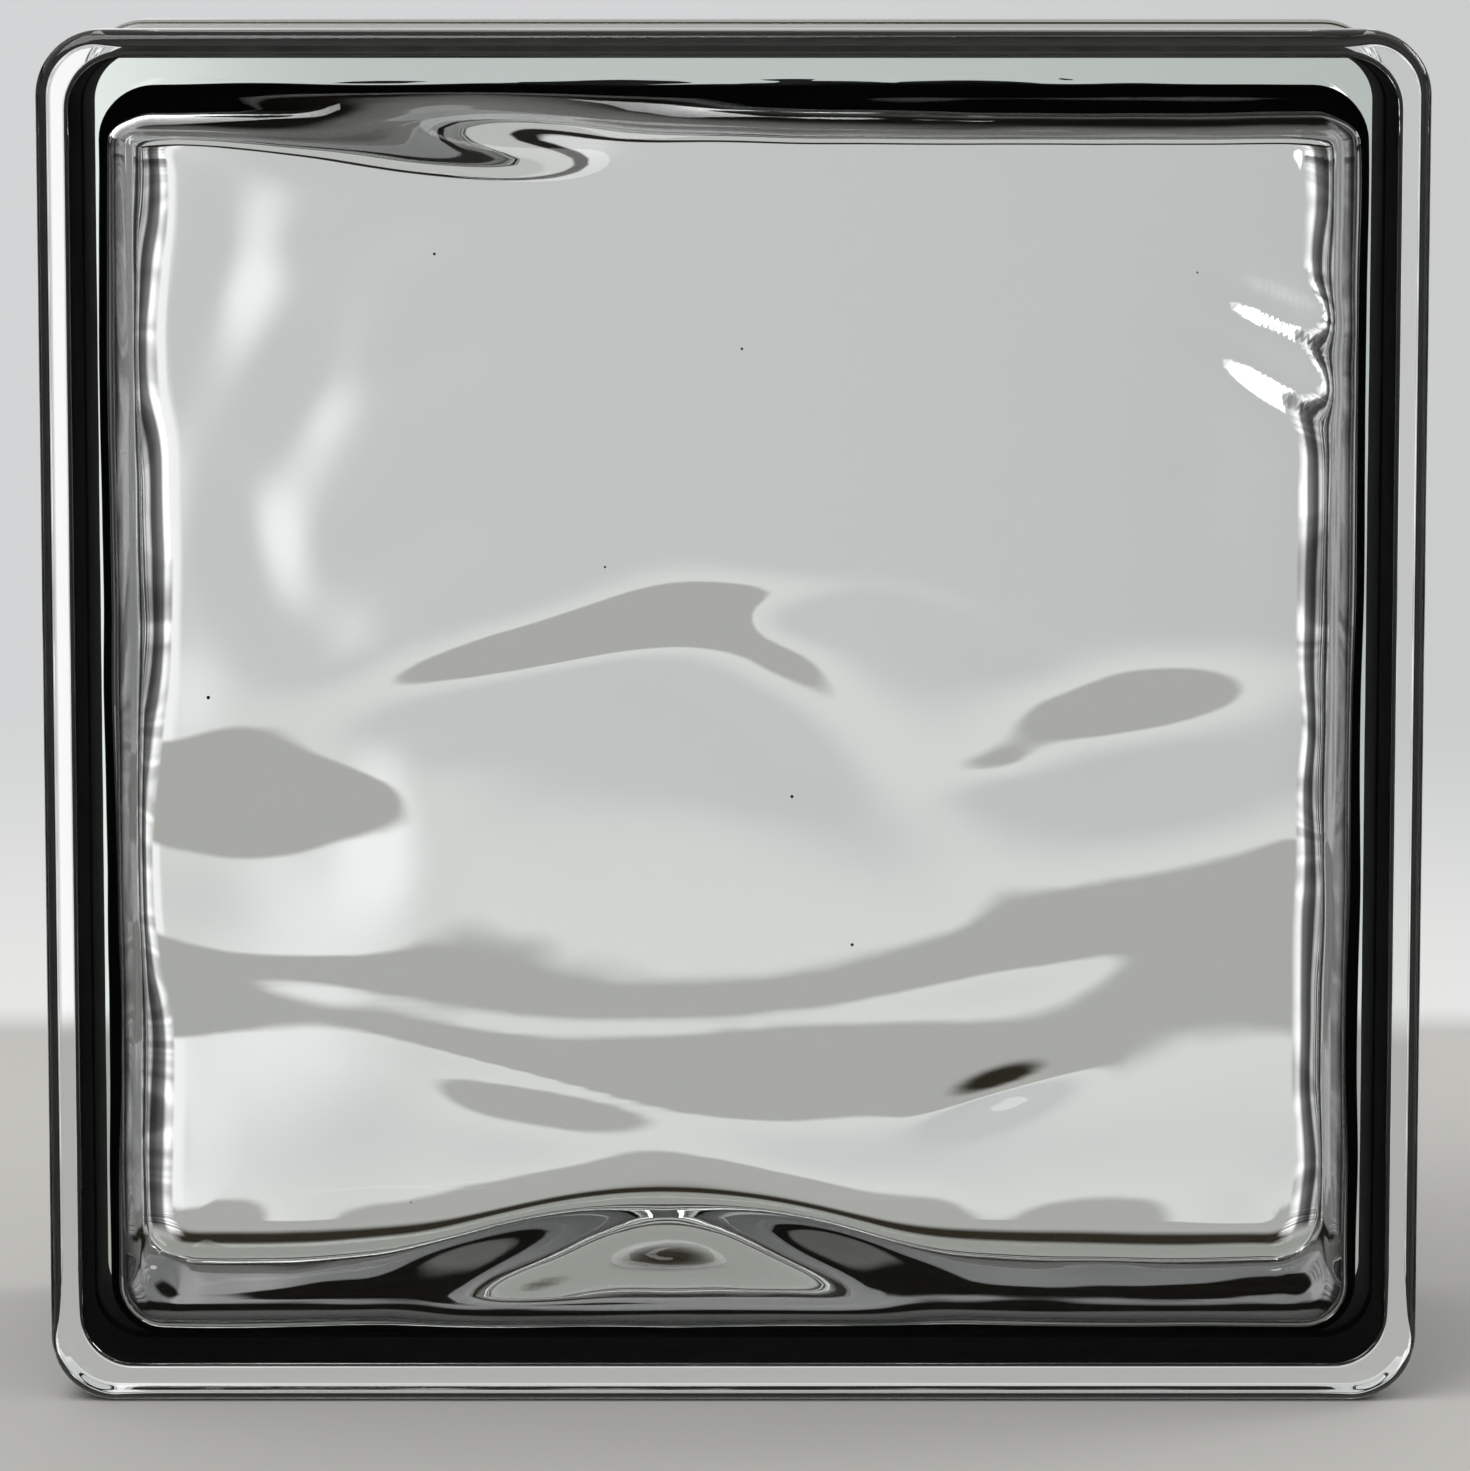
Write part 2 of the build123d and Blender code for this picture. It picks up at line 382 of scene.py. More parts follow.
class Shell:
    """A closed surface put together from rings, with amounts of pressing and wobble at each point."""

    def __init__(self, middle_height):
        self.middle_height = middle_height
        self.points = []
        self.faces = []
        self.amounts = {"front_press": [], "back_press": [], "wobble": []}

    def ring(self, outline, y, front_press=0.0, back_press=0.0, wobble=0.0):
        """Adds a ring of points at one depth and returns their numbers."""
        start = len(self.points)
        for x, z in outline:
            self.points.append((x, y, z + self.middle_height))
            self.amounts["front_press"].append(front_press)
            self.amounts["back_press"].append(back_press)
            self.amounts["wobble"].append(wobble)
        return list(range(start, len(self.points)))

    def bridge(self, ring, following):
        """Joins two rings by a band of faces."""
        count = len(ring)
        for place in range(count):
            after = (place + 1) % count
            self.faces.append((ring[place], ring[after], following[after], following[place]))

    def grid(self, ring, half, side_steps, y, front_press, back_press):
        """Fills an even square ring with a grid of points."""
        number = {}
        for step in range(side_steps):
            number[step, 0] = ring[step]
            number[side_steps, step] = ring[side_steps + step]
            number[side_steps - step, side_steps] = ring[2 * side_steps + step]
            number[0, side_steps - step] = ring[3 * side_steps + step]
        for row in range(1, side_steps):
            z = half * (2 * row / side_steps - 1)
            outline = [(half * (2 * column / side_steps - 1), z) for column in range(1, side_steps)]
            for column, place in enumerate(self.ring(outline, y, front_press, back_press), 1):
                number[column, row] = place
        for row in range(side_steps):
            for column in range(side_steps):
                corners = ((0, 0), (1, 0), (1, 1), (0, 1))
                self.faces.append([number[column + across, row + up] for across, up in corners])

    def mesh(self, name, inside_out):
        """Makes the mesh, smooth, with its faces turned out of the glass."""
        mesh = bpy.data.meshes.new(name)
        mesh.from_pydata(self.points, [], self.faces)
        work = bmesh.new()
        work.from_mesh(mesh)
        bmesh.ops.recalc_face_normals(work, faces=work.faces)
        if inside_out:
            bmesh.ops.reverse_faces(work, faces=work.faces)
        work.to_mesh(mesh)
        work.free()
        for attribute, values in self.amounts.items():
            mesh.attributes.new(attribute, "FLOAT", "POINT").data.foreach_set("value", values)
        mesh.shade_smooth()
        return mesh


def outside_profile(sizes):
    """Depth, half width and corner radius of each ring of the outside, front half first."""
    half, depth = sizes.side / 2, sizes.depth / 2
    waist = half - sizes.recess
    rim, lip_rim, root = sizes.edge_radius, sizes.lip_radius, sizes.root_radius
    turns = [math.pi / 2 * step / ROUND_STEPS for step in range(ROUND_STEPS + 1)]
    profile = []

    def lip_ring(y, inset):
        profile.append((y, half - inset, sizes.corner_radius - inset))

    def waist_ring(y, outset):
        profile.append((y, waist + outset, sizes.waist_corner_radius + outset))

    lip_ring(-depth, rim + SUPPORT)
    for turn in turns:
        lip_ring(-depth + rim * (1 - math.cos(turn)), rim * (1 - math.sin(turn)))
    lip_ring(-depth + rim + SUPPORT, 0)
    step_y = -depth + sizes.lip
    lip_ring(step_y - lip_rim - SUPPORT, 0)
    for turn in turns:
        lip_ring(step_y - lip_rim * (1 - math.sin(turn)), lip_rim * (1 - math.cos(turn)))
    lip_ring(step_y, lip_rim + SUPPORT)
    waist_ring(step_y, root + SUPPORT)
    for turn in turns:
        waist_ring(step_y + root * (1 - math.cos(turn)), root * (1 - math.sin(turn)))
    waist_ring(step_y + root + SUPPORT, 0)
    bead = sizes.seam_width / 2
    waist_ring(-bead - SUPPORT, 0)
    for step in range(SEAM_STEPS):
        share = step / SEAM_STEPS
        waist_ring(-bead * (1 - share), sizes.seam_height * (1 - math.cos(math.pi * share)) / 2)
    front = list(profile)
    waist_ring(0, sizes.seam_height)
    return profile + [(-y, ring_half, radius) for y, ring_half, radius in reversed(front)]


def outside_mesh(sizes):
    """The block from outside: two lipped faces, the waist and the seam."""
    shell = Shell(sizes.side / 2)
    side_steps, corner_steps = OUTSIDE_STEPS, OUTSIDE_CORNER_STEPS
    coat_shade_start = sizes.depth / 2 - sizes.lip - sizes.root_radius / 2
    before = None
    for y, half, radius in outside_profile(sizes):
        ring = shell.ring(rounded_square(half, radius, side_steps, corner_steps), y)
        if before:
            shell.bridge(before, ring)
        else:
            shell.faces.append(ring)
        before = ring
    shell.faces.append(before)
    mesh = shell.mesh("outside", False)
    for face in mesh.polygons:
        # the waist takes the near-black coat, partly painted shade of the joint round the block
        face.material_index = int(abs(face.center.y) < coat_shade_start)
    return mesh


def hollow_mesh(sizes):
    """The sealed hollow with flat faces, before its waves are pressed."""
    shell = Shell(sizes.side / 2)
    level = sizes.depth / 2 - sizes.face
    seam_half = sizes.side / 2 - sizes.recess - sizes.wall
    corner_centre = seam_half - sizes.hollow_corner_radius
    lean, turn_radius = sizes.draft, sizes.inner_radius
    centre_y = level - turn_radius
    centre_half = seam_half - math.tan(lean) * centre_y - turn_radius / math.cos(lean)
    wall_y = centre_y + turn_radius * math.sin(lean)

    def ring(y, half, press):
        outline = rounded_square(half, half - corner_centre, FACE_STEPS, CORNER_STEPS)
        return shell.ring(outline, y, press if y < 0 else 0.0, press if y > 0 else 0.0, 1.0)

    def pressed_face(towards):
        """Grid, border and rounded turn of one face, from the middle out."""
        y, front, back = towards * level, float(towards < 0), float(towards > 0)
        square_half = centre_half - BORDER
        square = even_square(square_half, FACE_STEPS)
        border = rounded_square(centre_half, centre_half - corner_centre, FACE_STEPS, CORNER_STEPS)
        first = shell.ring(square, y, front, back)
        shell.grid(first, square_half, FACE_STEPS, y, front, back)
        rings = [first]
        for step in range(1, BORDER_RINGS):
            share = step / BORDER_RINGS
            outline = [((1 - share) * a[0] + share * b[0], (1 - share) * a[1] + share * b[1])
                       for a, b in zip(square, border)]
            rings.append(shell.ring(outline, y, front, back, share ** 2))
        for step in range(ROUND_STEPS + 1):
            turn = (math.pi / 2 - lean) * step / ROUND_STEPS
            ring_y = centre_y + turn_radius * math.cos(turn)
            rings.append(ring(towards * ring_y, centre_half + turn_radius * math.sin(turn), 1.0))
        for step in range(1, WALL_RINGS):
            share = 1 - step / WALL_RINGS
            rings.append(ring(towards * wall_y * share, seam_half - math.tan(lean) * wall_y * share, share))
        return rings

    rings = pressed_face(-1)
    rings.append(ring(0.0, seam_half, 0.0))
    rings.extend(reversed(pressed_face(1)))
    for before, after in zip(rings, rings[1:]):
        shell.bridge(before, after)
    return shell.mesh("hollow", True)


def seed_sheet(sizes):
    """Flat sheet in the middle of the front face's glass, which the seeds are scattered over."""
    half = sizes.side / 2 - SEED_MARGIN
    y = (sizes.face - sizes.depth) / 2
    middle = sizes.side / 2
    mesh = bpy.data.meshes.new("seed_sheet")
    corners = [(x, y, middle + z) for x, z in ((-half, -half), (half, -half), (half, half), (-half, half))]
    mesh.from_pydata(corners, [], [(0, 1, 2, 3)])
    return mesh


def swell_group():
    """Node group: height of one long smooth swell over the face."""
    group = bpy.data.node_groups.new("Swell", "GeometryNodeTree")
    for name in ("Across", "Up", "Height", "Centre across", "Centre up", "Half length", "Half width",
                 "Tilt", "Bow"):
        group.interface.new_socket(name, in_out="INPUT", socket_type="NodeSocketFloat")
    group.interface.new_socket("Height", in_out="OUTPUT", socket_type="NodeSocketFloat")
    values = {socket.name: socket for socket in add_node(group, "NodeGroupInput").outputs}
    values["minus half"] = -0.5
    for result, operation, *terms in (
            ("off", "SUBTRACT", "Across", "Centre across"),
            ("along", "DIVIDE", "off", "Half length"),
            ("along squared", "MULTIPLY", "along", "along"),
            ("tilted", "MULTIPLY_ADD", "off", "Tilt", "Centre up"),
            ("crest", "MULTIPLY_ADD", "along squared", "Bow", "tilted"),
            ("above", "SUBTRACT", "Up", "crest"),
            ("beside", "DIVIDE", "above", "Half width"),
            ("spread", "MULTIPLY_ADD", "beside", "beside", "along squared"),
            ("halved", "MULTIPLY", "spread", "minus half"),
            ("fall", "EXPONENT", "halved"),
            ("swell", "MULTIPLY", "fall", "Height")):
        inputs = {place: values[term] for place, term in enumerate(terms)}
        values[result] = add_node(group, "ShaderNodeMath", inputs, operation=operation).outputs[0]
    add_node(group, "NodeGroupOutput", {"Height": values["swell"]})
    return group


def new_tree(name, sizes):
    """Empty tree that takes and gives geometry and has an input for each named size."""
    tree = bpy.data.node_groups.new(name, "GeometryNodeTree")
    tree.interface.new_socket("Geometry", in_out="INPUT", socket_type="NodeSocketGeometry")
    for size in sizes:
        tree.interface.new_socket(size, in_out="INPUT", socket_type="NodeSocketFloat")
    tree.interface.new_socket("Geometry", in_out="OUTPUT", socket_type="NodeSocketGeometry")
    return tree, add_node(tree, "NodeGroupInput").outputs


def finish_tree(tree, geometry, material):
    """Ends a tree: instances become plain faces and take the material."""
    real = add_node(tree, "GeometryNodeRealizeInstances", {"Geometry": geometry})
    painted = add_node(tree, "GeometryNodeSetMaterial",
                       {"Geometry": real.outputs[0], "Material": material})
    add_node(tree, "NodeGroupOutput", {"Geometry": painted.outputs[0]})


def wave_tree(name, swell, shares, attribute, inwards, material):
    """Tree that presses the sum of the swells into the points that carry the attribute."""
    tree, ins = new_tree(name, ("Wave height", "Half side"))
    place = add_node(tree, "GeometryNodeInputPosition")
    split = add_node(tree, "ShaderNodeSeparateXYZ", {0: place.outputs[0]})
    up = add_node(tree, "ShaderNodeMath", {0: split.outputs["Z"], 1: ins["Half side"]},
                  operation="SUBTRACT")
    total = 0.0
    for height, across, middle, length, width, tilt, bow in shares:
        links = {"Across": split.outputs["X"], "Up": up.outputs[0], "Tilt": tilt}
        for socket, share, size in (
                ("Height", height, "Wave height"), ("Centre across", across, "Half side"),
                ("Centre up", middle, "Half side"), ("Half length", length, "Half side"),
                ("Half width", width, "Half side"), ("Bow", bow, "Half side")):
            links[socket] = add_node(tree, "ShaderNodeMath", {0: ins[size], 1: share},
                                     operation="MULTIPLY").outputs[0]
        one = add_node(tree, "GeometryNodeGroup", links, node_tree=swell)
        total = add_node(tree, "ShaderNodeMath", {0: one.outputs[0], 1: total},
                         operation="ADD").outputs[0]
    press = add_node(tree, "GeometryNodeInputNamedAttribute", {"Name": attribute}, data_type="FLOAT")
    amount = add_node(tree, "ShaderNodeMath", {0: total, 1: press.outputs["Attribute"]},
                      operation="MULTIPLY")
    signed = add_node(tree, "ShaderNodeMath", {0: amount.outputs[0], 1: inwards}, operation="MULTIPLY")
    offset = add_node(tree, "ShaderNodeCombineXYZ", {"Y": signed.outputs[0]})
    moved = add_node(tree, "GeometryNodeSetPosition",
                     {"Geometry": ins["Geometry"], "Offset": offset.outputs[0]})
    finish_tree(tree, moved.outputs[0], material)
    return tree


def wobble_tree(material):
    """Tree that runs the walls and their turns out of true by a slow noise."""
    tree, ins = new_tree("Wall wobble", ("Wobble", "Wobble length"))
    place = add_node(tree, "GeometryNodeInputPosition")
    scale = add_node(tree, "ShaderNodeMath", {0: 1.0, 1: ins["Wobble length"]}, operation="DIVIDE")
    noise = add_node(tree, "ShaderNodeTexNoise",
                     {"Vector": place.outputs[0], "Scale": scale.outputs[0], "Detail": 1.0})
    centred = add_node(tree, "ShaderNodeMath", {0: noise.outputs[0], 1: 0.5}, operation="SUBTRACT")
    share = add_node(tree, "GeometryNodeInputNamedAttribute", {"Name": "wobble"}, data_type="FLOAT")
    shared = add_node(tree, "ShaderNodeMath", {0: centred.outputs[0], 1: share.outputs["Attribute"]},
                      operation="MULTIPLY")
    height = add_node(tree, "ShaderNodeMath", {0: shared.outputs[0], 1: ins["Wobble"]},
                      operation="MULTIPLY")
    normal = add_node(tree, "GeometryNodeInputNormal")
    offset = add_node(tree, "ShaderNodeVectorMath", {0: normal.outputs[0], "Scale": height.outputs[0]},
                      operation="SCALE")
    moved = add_node(tree, "GeometryNodeSetPosition",
                     {"Geometry": ins["Geometry"], "Offset": offset.outputs[0]})
    finish_tree(tree, moved.outputs[0], material)
    return tree


def seed_tree(material):
    """Tree that scatters small bubbles over a sheet, with their faces turned into the bubble."""
    tree, ins = new_tree("Seeds", ("Seed radius", "Seed density"))
    spots = add_node(tree, "GeometryNodeDistributePointsOnFaces",
                     {"Mesh": ins["Geometry"], "Density": ins["Seed density"], "Seed": SEED})
    ball = add_node(tree, "GeometryNodeMeshIcoSphere", {"Radius": ins["Seed radius"], "Subdivisions": 3})
    sizes = add_node(tree, "FunctionNodeRandomValue", {2: SMALLEST_SEED_SHARE, 3: 1.0, "Seed": SEED},
                     data_type="FLOAT")
    balls = add_node(tree, "GeometryNodeInstanceOnPoints",
                     {"Points": spots.outputs["Points"], "Instance": ball.outputs["Mesh"],
                      "Scale": sizes.outputs[1]})
    real = add_node(tree, "GeometryNodeRealizeInstances", {"Geometry": balls.outputs[0]})
    turned = add_node(tree, "GeometryNodeFlipFaces", {"Mesh": real.outputs[0]})
    finish_tree(tree, turned.outputs[0], material)
    return tree


def grow(piece, trees):
    """Runs the trees on a piece, each with its sizes, and leaves a plain mesh."""
    for tree, sizes in trees:
        modifier = piece.modifiers.new(tree.name, "NODES")
        modifier.node_group = tree
        for item in tree.interface.items_tree:
            if item.in_out == "INPUT" and item.name in sizes:
                modifier[item.identifier] = sizes[item.name]
    evaluated = piece.evaluated_get(bpy.context.evaluated_depsgraph_get())
    mesh = bpy.data.meshes.new_from_object(evaluated)
    piece.modifiers.clear()
    return mesh


def new_material(name, values):
    """A material with these values on its shader, given back with its tree and that shader."""
    material = bpy.data.materials.new(name)
    material.use_nodes = True
    shader = material.node_tree.nodes["Principled BSDF"]
    for socket, value in values.items():
        shader.inputs[socket].default_value = value
    return material, material.node_tree, shader


def clear_glass(look):
    """Clear soda-lime glass, pressed and fire polished, with a faint ripple from the mould."""
    # white and smooth, so that all it shows comes through it or off it
    material, tree, shader = new_material("clear_pressed_glass", {
        "Base Color": (1.0, 1.0, 1.0, 1.0), "Roughness": 0.0, "IOR": look.ior, "Transmission Weight": 1.0})
    # a slow ripple, which bends what is seen through the glass a little here and there
    place = add_node(tree, "ShaderNodeTexCoord")
    ripple = add_node(tree, "ShaderNodeTexNoise",
                      {"Vector": place.outputs["Object"], "Scale": 1 / look.ripple_length, "Detail": 1.5})
    bump = add_node(tree, "ShaderNodeBump",
                    {"Height": ripple.outputs[0], "Strength": 1.0, "Distance": look.ripple_height})
    tree.links.new(bump.outputs[0], shader.inputs["Normal"])
    # long ways through the glass turn faintly green
    depth = add_node(tree, "ShaderNodeVolumeAbsorption",
                     {"Color": look.depth_colour, "Density": look.density})
    tree.links.new(depth.outputs[0], tree.nodes["Material Output"].inputs["Volume"])
    return material


def waist_coat_and_shade(look):
    """Dark matt coat brushed on the waist, near black where it shows through the glass: partly a real bond
    coat, partly painted shade that stands in for the dark joint round a laid block.
    """
    material, tree, shader = new_material("dark_coat_and_joint_shade", {"Roughness": 0.8, "Specular IOR Level": 0.2})
    # brushed on by hand: thicker and thinner patches
    place = add_node(tree, "ShaderNodeTexCoord")
    patches = add_node(tree, "ShaderNodeTexNoise",
                       {"Vector": place.outputs["Object"], "Scale": 1 / look.coat_grain, "Detail": 4.0})
    thickness = add_node(tree, "ShaderNodeMapRange",
                         {"Value": patches.outputs[0], "From Min": COAT_THICK_LEVEL,
                          "From Max": COAT_THIN_LEVEL})
    tone = add_node(tree, "ShaderNodeMix",
                    {"Factor": thickness.outputs[0], 6: look.coat_thick_shade_colour, 7: look.coat_thin_shade_colour},
                    data_type="RGBA")
    tree.links.new(tone.outputs[2], shader.inputs["Base Color"])
    return material


class GLASSBLOCK_OT_block(bpy.types.Operator):
    """Makes the block: the outside and the sealed wavy hollow, as one piece of glass"""

    bl_idname = "glassblock.block"
    bl_label = "Make the glass block"

    def execute(self, context):
        sizes, look = context.scene.glass_block_sizes, context.scene.glass_block_look
        glass = clear_glass(look)
        swell = swell_group()
        waves = {"Wave height": sizes.wave_height, "Half side": sizes.side / 2}
        hollow = bpy.data.objects.new("hollow", hollow_mesh(sizes))
        context.scene.collection.objects.link(hollow)
        pressed = grow(hollow, (
            (wave_tree("Front waves", swell, FRONT_SWELL_SHARES + FRONT_RIPPLE_SHARES, "front_press", 1.0,
                       glass), waves),
            (wave_tree("Back waves", swell, BACK_SWELL_SHARES + BACK_RIPPLE_SHARES, "back_press", -1.0,
                       glass), waves),
            (wobble_tree(glass), {"Wobble": sizes.wobble, "Wobble length": sizes.wobble_length})))
        sheet = bpy.data.objects.new("seed_sheet", seed_sheet(sizes))
        context.scene.collection.objects.link(sheet)
        seeds = grow(sheet, (
            (seed_tree(glass), {"Seed radius": sizes.seed_radius, "Seed density": sizes.seed_density}),))
        work = bmesh.new()
        for part in (outside_mesh(sizes), pressed, seeds):
            work.from_mesh(part)
        mesh = bpy.data.meshes.new("clear_glass_block")
        work.to_mesh(mesh)
        work.free()
        bpy.data.objects.remove(hollow)
        bpy.data.objects.remove(sheet)
        mesh.materials.append(glass)
        mesh.materials.append(waist_coat_and_shade(look))
        mesh.shade_smooth()
        for attribute in ("front_press", "back_press", "wobble"):
            if attribute in mesh.attributes:
                mesh.attributes.remove(mesh.attributes[attribute])
        block = bpy.data.objects.new("clear_glass_block", mesh)
        context.scene.collection.objects.link(block)
        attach(block, "root")
        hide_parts("glass_block")
        return {"FINISHED"}


def floor_material(stage):
    """Matt pale paint on a smooth board, with faint patches."""
    material, tree, shader = new_material("pale_matt_floor", {"Roughness": 0.9, "Specular IOR Level": 0.2})
    place = add_node(tree, "ShaderNodeTexCoord")
    patches = add_node(tree, "ShaderNodeTexNoise",
                       {"Vector": place.outputs["Object"], "Scale": 1 / FLOOR_PATCH, "Detail": 3.0})
    tone = add_node(tree, "ShaderNodeMix",
                    {"Factor": patches.outputs[0], 6: stage.floor_colour, 7: stage.floor_patch_colour},
                    data_type="RGBA")
    tree.links.new(tone.outputs[2], shader.inputs["Base Color"])
    return material


def add_card(name, corners, material):
    """A flat stage card through the given corners."""
    mesh = bpy.data.meshes.new(name)
    mesh.from_pydata(corners, [], [list(range(len(corners)))])
    card = bpy.data.objects.new(name, mesh)
    mesh.materials.append(material)
    bpy.context.scene.collection.objects.link(card)
    return card


def side_strips(tree, sideways, up):
    """Light at both sides of the wall, plain and as patchy strips, which only the glass shows."""
    strip = add_node(tree, "ShaderNodeValToRGB", {0: sideways})
    stops = strip.color_ramp.elements
    stops.remove(stops[0])
    for place, (position, brightness) in enumerate(SIDE_LIGHT):
        stop = stops.new(position) if place else stops[0]
        stop.position = position
        stop.color = (brightness, brightness, brightness, 1.0)
    patchy = add_node(tree, "ShaderNodeTexNoise", {"W": up, "Scale": STRIP_CHANGES},
                      noise_dimensions="1D")
    dimming = add_node(tree, "ShaderNodeMapRange",
                       {"Value": patchy.outputs[0], "From Min": STRIP_DIM_LEVEL,
                        "From Max": STRIP_BRIGHT_LEVEL, "To Min": STRIP_DIM_SHARE, "To Max": 1.0})
    faded = add_node(tree, "ShaderNodeMix", {"Factor": 1.0, 6: strip.outputs[0], 7: dimming.outputs[0]},
                     data_type="RGBA", blend_type="MULTIPLY")
    return strip.outputs[0], faded.outputs[2]


def tone_changes(tree, parts, path, stage):
    """How far each change of tone has gone on a ray's way."""
    at_horizon = [("above foot", "Z", stage.horizon, stage.horizon + FOOT_RISE),
                  ("horizon", "Z", stage.horizon - HORIZON_SOFTNESS, stage.horizon + HORIZON_SOFTNESS)]
    changes = {}
    for course, rows in (("SMOOTHSTEP", SOFT_CHANGES + at_horizon), ("LINEAR", EVEN_CHANGES)):
        for name, part, start, full in rows:
            changes[name] = add_node(tree, "ShaderNodeMapRange",
                                     {"Value": parts[part], "From Min": start, "From Max": full},
                                     interpolation_type=course).outputs[0]
    for name, limit in (("ground shadow", "beyond"), ("ground shadow", "between strips"),
                        ("strips", "beyond"), ("strips", "strip height")):
        changes[name] = add_node(tree, "ShaderNodeMath", {0: changes[name], 1: changes[limit]},
                                 operation="MULTIPLY").outputs[0]
    # the camera itself sees none of these, and only the glass shows them
    for name in ("lit wall", "strips", "lamp"):
        changes[name] = add_node(tree, "ShaderNodeMath",
                                 {0: changes[name], 1: path.outputs["Is Camera Ray"]},
                                 operation="SUBTRACT", use_clamp=True).outputs[0]
    # the side behind the camera is dim where the glass mirrors it
    changes["dim side"] = add_node(tree, "ShaderNodeMath",
                                   {0: changes["dim side"], 1: path.outputs["Glossy Depth"]},
                                   operation="MULTIPLY", use_clamp=True).outputs[0]
    return changes


def layered(tree, tone, layers):
    """Lays tones over one another, each as far as its change has gone."""
    for change, above in layers:
        tone = add_node(tree, "ShaderNodeMix", {"Factor": change, 6: tone, 7: above},
                        data_type="RGBA").outputs[2]
    return tone


def far_background(world, stage):
    """Even light for the stage; in the glass, a far pale wall over grey ground, lit from both sides."""
    world.use_nodes = True
    tree = world.node_tree
    tree.nodes.clear()
    way = add_node(tree, "ShaderNodeTexCoord").outputs["Generated"]
    path = add_node(tree, "ShaderNodeLightPath")
    split = add_node(tree, "ShaderNodeSeparateXYZ", {0: way})
    parts = {axis: split.outputs[axis] for axis in "XYZ"}
    parts["side"] = add_node(tree, "ShaderNodeMath", {0: parts["X"]}, operation="ABSOLUTE").outputs[0]
    parts["lamp"] = add_node(tree, "ShaderNodeVectorMath", {0: way, 1: LAMP_WAY},
                             operation="DISTANCE").outputs["Value"]
    changes = tone_changes(tree, parts, path, stage)
    side_light, strips = side_strips(tree, parts["side"], parts["Z"])
    lamp_light = [stage.lamp_strength] * 3 + [1.0]
    upper_wall = layered(tree, stage.wall_colour, [(changes["dull wall"], stage.dull_wall_colour)])
    wall = layered(tree, stage.wall_foot_colour, [
        (changes["above foot"], upper_wall), (changes["lit wall"], side_light)])
    all_round = layered(tree, stage.ground_colour, [
        (changes["ground shadow"], stage.ground_shadow_colour),
        (changes["foot ground"], stage.foot_ground_colour), (changes["horizon"], wall),
        (changes["strips"], strips), (changes["lamp"], lamp_light), (changes["beam"], stage.beam_colour),
        (changes["ceiling"], stage.ceiling_colour), (changes["dim side"], stage.dim_side_colour)])
    seen = add_node(tree, "ShaderNodeBackground", {"Color": all_round, "Strength": 1.0})
    light = add_node(tree, "ShaderNodeBackground",
                     {"Color": (1.0, 1.0, 1.0, 1.0), "Strength": stage.light_strength})
    # rays to the camera, off the glass and through it see the background, all others even light
    shown = path.outputs["Is Camera Ray"]
    for ray in ("Is Glossy Ray", "Is Transmission Ray"):
        shown = add_node(tree, "ShaderNodeMath", {0: shown, 1: path.outputs[ray]},
                         operation="MAXIMUM").outputs[0]
    mix = add_node(tree, "ShaderNodeMixShader", {0: shown, 1: light.outputs[0], 2: seen.outputs[0]})
    add_node(tree, "ShaderNodeOutputWorld", {"Surface": mix.outputs[0]})


def add_softbox(name, place, aim, size, watts):
    """A large square lamp that faces the aim."""
    lamp = bpy.data.lights.new(name, "AREA")
    lamp.shape = "SQUARE"
    lamp.size = size
    lamp.energy = watts
    holder = bpy.data.objects.new(name, lamp)
    bpy.context.scene.collection.objects.link(holder)
    holder.location = place
    away = Vector(place) - aim
    holder.rotation_euler = away.to_track_quat("Z", "Y").to_euler()


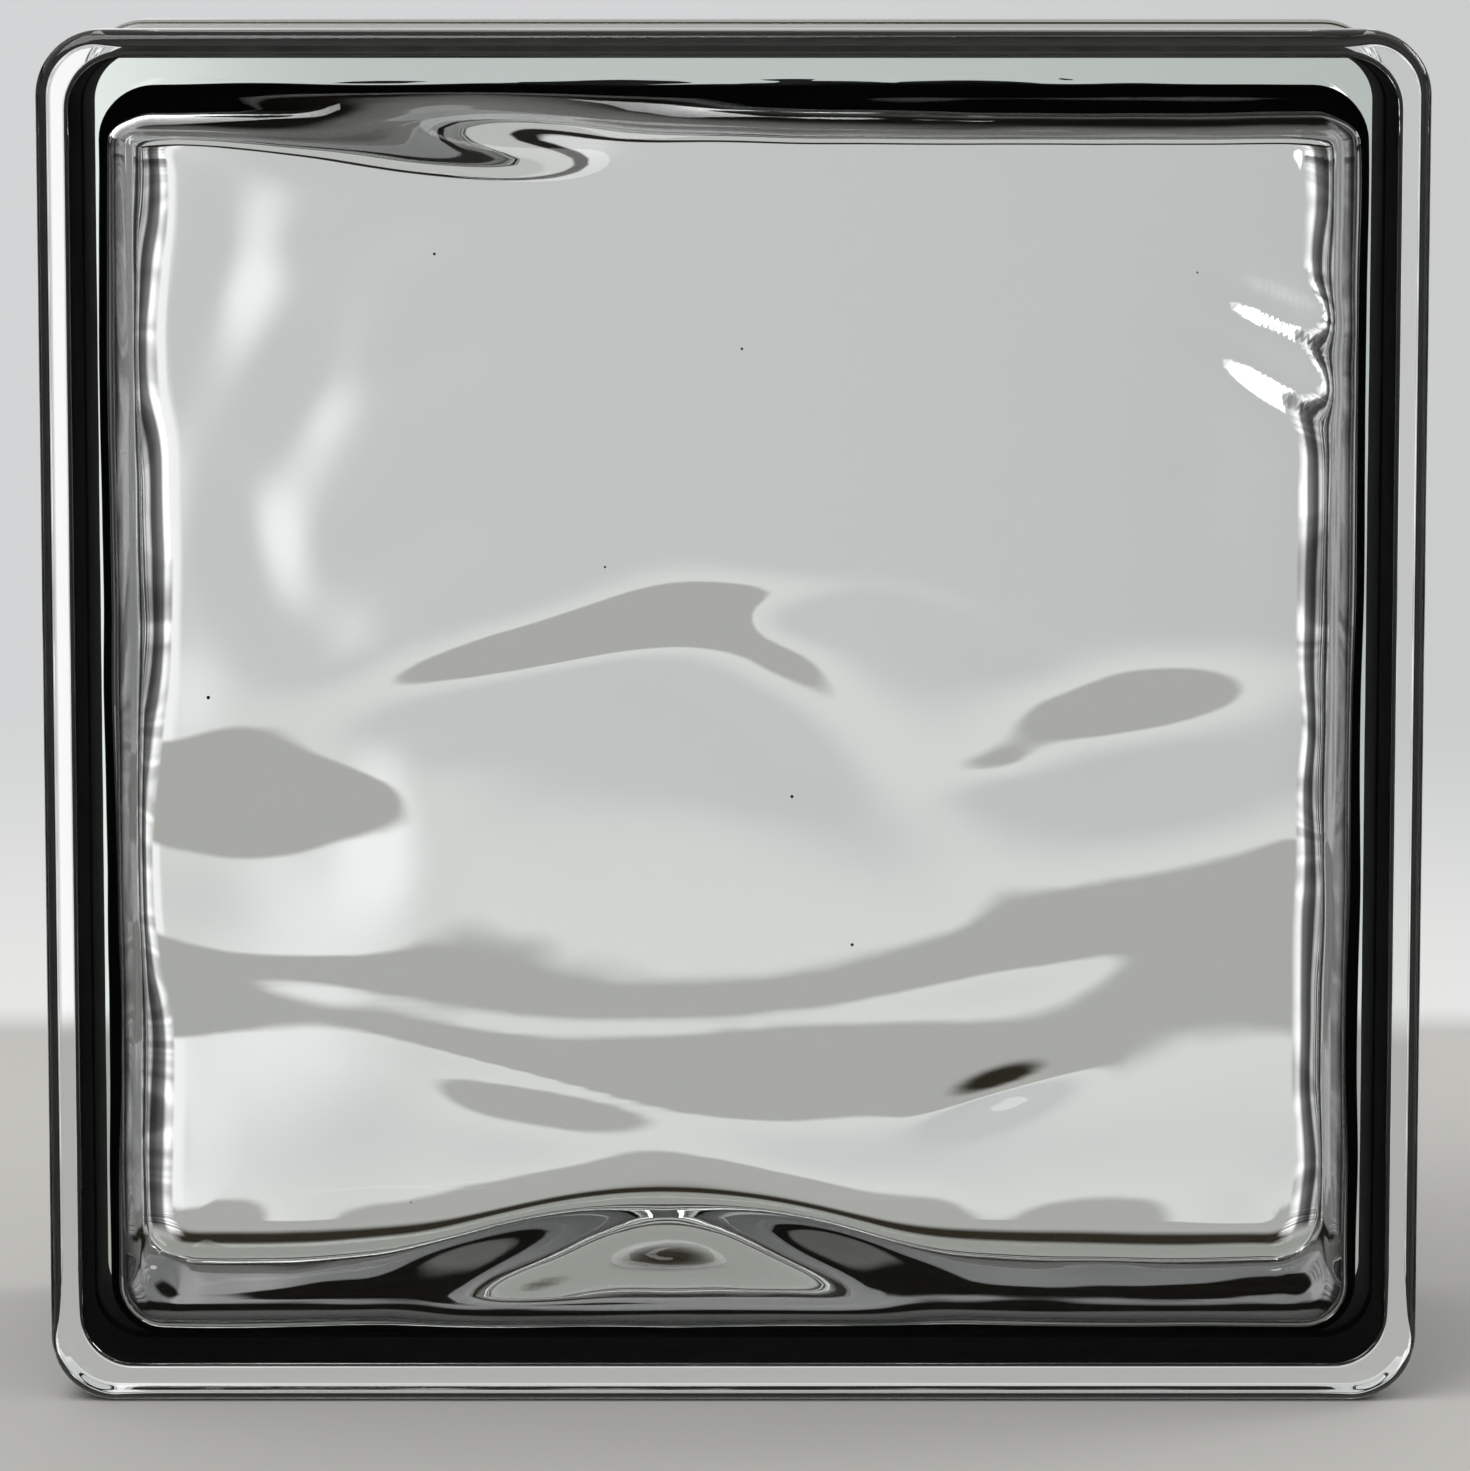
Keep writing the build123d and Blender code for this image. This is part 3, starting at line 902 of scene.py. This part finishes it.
class GLASSBLOCK_OT_stage(bpy.types.Operator):
    """Lays the floor, sets the light and places the camera"""

    bl_idname = "glassblock.stage"
    bl_label = "Set the stage"

    def execute(self, context):
        scene = context.scene
        stage, sizes = scene.glass_block_stage, scene.glass_block_sizes
        corners = []
        for step in range(FLOOR_STEPS):
            turn = 2 * math.pi * step / FLOOR_STEPS
            corners.append((stage.floor_radius * math.cos(turn),
                            stage.floor_radius * math.sin(turn) + stage.floor_shift, 0.0))
        floor = add_card("floor", corners, floor_material(stage))
        floor.visible_transmission = False
        floor.visible_glossy = False

        middle = Vector((0.0, 0.0, sizes.side / 2))
        for name, place, size, watts in SOFTBOXES:
            add_softbox(name, place, middle, size, watts)
        scene.world = bpy.data.worlds.new("pale_studio")
        far_background(scene.world, stage)

        camera = bpy.data.cameras.new("camera")
        holder = bpy.data.objects.new("camera", camera)
        scene.collection.objects.link(holder)
        front = -sizes.depth / 2
        holder.location = (stage.camera_side, front - stage.camera_distance,
                           sizes.side / 2 + stage.camera_rise)
        holder.rotation_euler = (math.pi / 2 - stage.camera_pitch, 0.0, 0.0)
        axis_depth = (stage.camera_distance * math.cos(stage.camera_pitch)
                      + stage.camera_rise * math.sin(stage.camera_pitch))
        focal_pixels = stage.pixels_per_mm / MM * axis_depth
        camera.sensor_fit = "HORIZONTAL"
        camera.sensor_width = 36.0
        camera.lens = focal_pixels / IMAGE_WIDTH * camera.sensor_width
        # where the block's middle falls before the shift, and where the photograph has it
        drop = (stage.camera_rise * math.cos(stage.camera_pitch)
                - stage.camera_distance * math.sin(stage.camera_pitch))
        middle_x = IMAGE_WIDTH / 2 - focal_pixels * stage.camera_side / axis_depth
        middle_y = IMAGE_HEIGHT / 2 + focal_pixels * drop / axis_depth
        camera.shift_x = (middle_x - stage.middle_pixel_x) / IMAGE_WIDTH
        camera.shift_y = -(middle_y - stage.middle_pixel_y) / IMAGE_WIDTH
        camera.clip_start = 0.01
        camera.clip_end = 100.0
        scene.camera = holder

        scene.view_settings.view_transform = "Standard"
        scene.cycles.max_bounces = 16
        scene.cycles.transmission_bounces = 14
        scene.cycles.glossy_bounces = 8
        scene.cycles.caustics_reflective = False
        scene.cycles.caustics_refractive = False
        return {"FINISHED"}


class VIEW3D_PT_glass_block(bpy.types.Panel):
    """Sidebar panel with the two buttons and all sizes and settings"""

    bl_label = "Glass block"
    bl_space_type = "VIEW_3D"
    bl_region_type = "UI"
    bl_category = "Glass block"

    def draw(self, context):
        layout = self.layout
        for operator in (GLASSBLOCK_OT_block, GLASSBLOCK_OT_stage):
            layout.operator(operator.bl_idname)
        for group in (context.scene.glass_block_sizes, context.scene.glass_block_look,
                      context.scene.glass_block_stage):
            for name in group.__annotations__:
                layout.prop(group, name)


CLASSES = (GlassBlockSizes, GlassBlockLook, GlassBlockStage, GLASSBLOCK_OT_block, GLASSBLOCK_OT_stage,
           VIEW3D_PT_glass_block)


def register():
    """Registers the classes and hangs the properties on the scene."""
    for cls in CLASSES:
        bpy.utils.register_class(cls)
    bpy.types.Scene.glass_block_sizes = bpy.props.PointerProperty(type=GlassBlockSizes)
    bpy.types.Scene.glass_block_look = bpy.props.PointerProperty(type=GlassBlockLook)
    bpy.types.Scene.glass_block_stage = bpy.props.PointerProperty(type=GlassBlockStage)


def unregister():
    """Takes the properties and classes away again."""
    del bpy.types.Scene.glass_block_stage
    del bpy.types.Scene.glass_block_look
    del bpy.types.Scene.glass_block_sizes
    for cls in reversed(CLASSES):
        bpy.utils.unregister_class(cls)


def main():
    """Registers the add-on, then makes the block and the stage in order."""
    register()
    bpy.ops.glassblock.block()
    bpy.ops.glassblock.stage()


if __name__ == "__main__":
    main()
